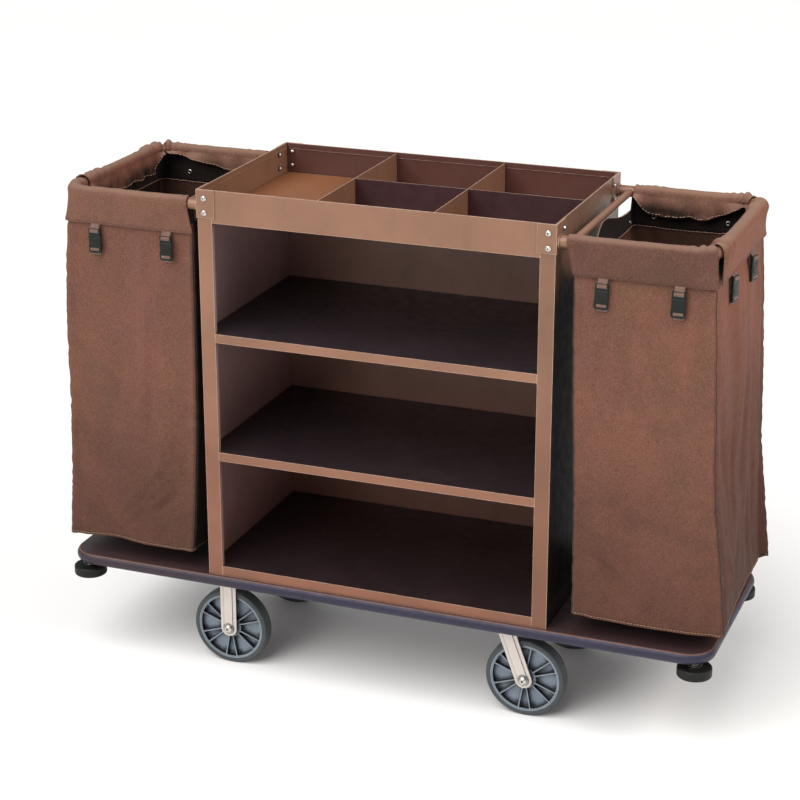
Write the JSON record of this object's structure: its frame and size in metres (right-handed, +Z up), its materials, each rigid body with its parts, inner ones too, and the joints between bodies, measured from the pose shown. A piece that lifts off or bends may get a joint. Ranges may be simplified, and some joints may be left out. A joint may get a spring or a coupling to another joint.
{
  "type": "housekeeping cart",
  "caption": "Wheeled housekeeping cart with an open shelved cabinet, a divided top tray and a cloth laundry bag hung from a tube hoop at each end.",
  "frame": {"origin": "on the floor under the middle of the cart", "axes": "+X along the cart to the swivel caster end, +Y from the open front to the back, +Z up"},
  "size_m": [1.5232, 0.495, 1.133],
  "materials": {
    "powder_coat": "fine textured metallic powder coat, satin",
    "powder_coat_inner": "fine textured powder coat in shade, satin",
    "deck": "board with a dark matt laminate",
    "edge_band": "soft vinyl, satin",
    "canvas": "plain weave canvas with a coated black lining",
    "buckle_plastic": "moulded, satin",
    "bright_steel": "bright zinc",
    "zinc": "pale zinc plate, satin",
    "tread": "smooth grey rubber",
    "wheel_plastic": "moulded, satin",
    "roller_rubber": "moulded, matt"
  },
  "bodies": {
    "root": {"deck_board": "deck", "deck_edge_band": "edge_band", "side_panel_left": "powder_coat", "side_panel_right": "powder_coat", "back_panel": "powder_coat_inner", "shelf_bottom": "powder_coat", "shelf_middle": "powder_coat", "shelf_top": "powder_coat", "cabinet_bolts": "bright_steel", "tray_apron": "powder_coat", "tray_floor": "powder_coat", "divider_left": "powder_coat", "divider_right": "powder_coat", "divider_cross": "powder_coat", "bracket_front_left": "powder_coat", "bracket_front_right": "powder_coat", "bracket_back_left": "powder_coat", "bracket_back_right": "powder_coat", "bracket_screws": "bright_steel", "bracket_nuts": "bright_steel", "hoop_left": "powder_coat", "hoop_right": "powder_coat", "hoop_crossbars": "powder_coat", "hoop_collars": "powder_coat", "bag_left": "canvas", "bag_right": "canvas", "buckle_bodies": "buckle_plastic", "buckle_tongues": "buckle_plastic", "fixed_fork_front": "zinc", "fixed_fork_back": "zinc", "fixed_axle_bolts": "bright_steel", "fixed_axle_sleeves": "bright_steel", "caster_bolts": "bright_steel", "swivel_plates": "zinc", "swivel_kingpins": "bright_steel", "roller_bolts": "bright_steel", "roller_spacers": "bright_steel"},
    "swivel_front": {"swivel_fork_front": "zinc", "swivel_ball_ring_front": "bright_steel", "swivel_axle_bolt_front": "bright_steel", "swivel_axle_sleeve_front": "bright_steel"},
    "wheel_front_left": {"wheel_core_front_left": "wheel_plastic", "tyre_front_left": "tread"},
    "corner_roller_front_left": {"roller_front_left": "roller_rubber"},
    "wheel_front_right": {"wheel_core_front_right": "wheel_plastic", "tyre_front_right": "tread"},
    "corner_roller_front_right": {"roller_front_right": "roller_rubber"},
    "swivel_back": {"swivel_fork_back": "zinc", "swivel_ball_ring_back": "bright_steel", "swivel_axle_bolt_back": "bright_steel", "swivel_axle_sleeve_back": "bright_steel"},
    "wheel_back_left": {"wheel_core_back_left": "wheel_plastic", "tyre_back_left": "tread"},
    "corner_roller_back_left": {"roller_back_left": "roller_rubber"},
    "wheel_back_right": {"wheel_core_back_right": "wheel_plastic", "tyre_back_right": "tread"},
    "corner_roller_back_right": {"roller_back_right": "roller_rubber"}
  },
  "joints": [
    {"name": "swivel_front_turn", "type": "hinge", "parent": "root", "child": "swivel_front", "pos_m": [0.298, -0.172, 0.2], "axis": [0, 0, 1], "continuous": true},
    {"name": "swivel_back_turn", "type": "hinge", "parent": "root", "child": "swivel_back", "pos_m": [0.298, 0.172, 0.2], "axis": [0, 0, 1], "continuous": true},
    {"name": "wheel_front_left_spin", "type": "hinge", "parent": "root", "child": "wheel_front_left", "pos_m": [-0.372, -0.172, 0.09], "axis": [0, 1, 0], "continuous": true},
    {"name": "wheel_front_right_spin", "type": "hinge", "parent": "swivel_front", "child": "wheel_front_right", "pos_m": [0.338, -0.172, 0.09], "axis": [0, 1, 0], "continuous": true},
    {"name": "wheel_back_left_spin", "type": "hinge", "parent": "root", "child": "wheel_back_left", "pos_m": [-0.372, 0.172, 0.09], "axis": [0, 1, 0], "continuous": true},
    {"name": "wheel_back_right_spin", "type": "hinge", "parent": "swivel_back", "child": "wheel_back_right", "pos_m": [0.338, 0.172, 0.09], "axis": [0, 1, 0], "continuous": true},
    {"name": "corner_roller_front_left_spin", "type": "hinge", "parent": "root", "child": "corner_roller_front_left", "pos_m": [-0.718, -0.21, 0.192], "axis": [0, 0, 1], "continuous": true},
    {"name": "corner_roller_front_right_spin", "type": "hinge", "parent": "root", "child": "corner_roller_front_right", "pos_m": [0.718, -0.21, 0.192], "axis": [0, 0, 1], "continuous": true},
    {"name": "corner_roller_back_left_spin", "type": "hinge", "parent": "root", "child": "corner_roller_back_left", "pos_m": [-0.718, 0.21, 0.192], "axis": [0, 0, 1], "continuous": true},
    {"name": "corner_roller_back_right_spin", "type": "hinge", "parent": "root", "child": "corner_roller_back_right", "pos_m": [0.718, 0.21, 0.192], "axis": [0, 0, 1], "continuous": true}
  ]
}
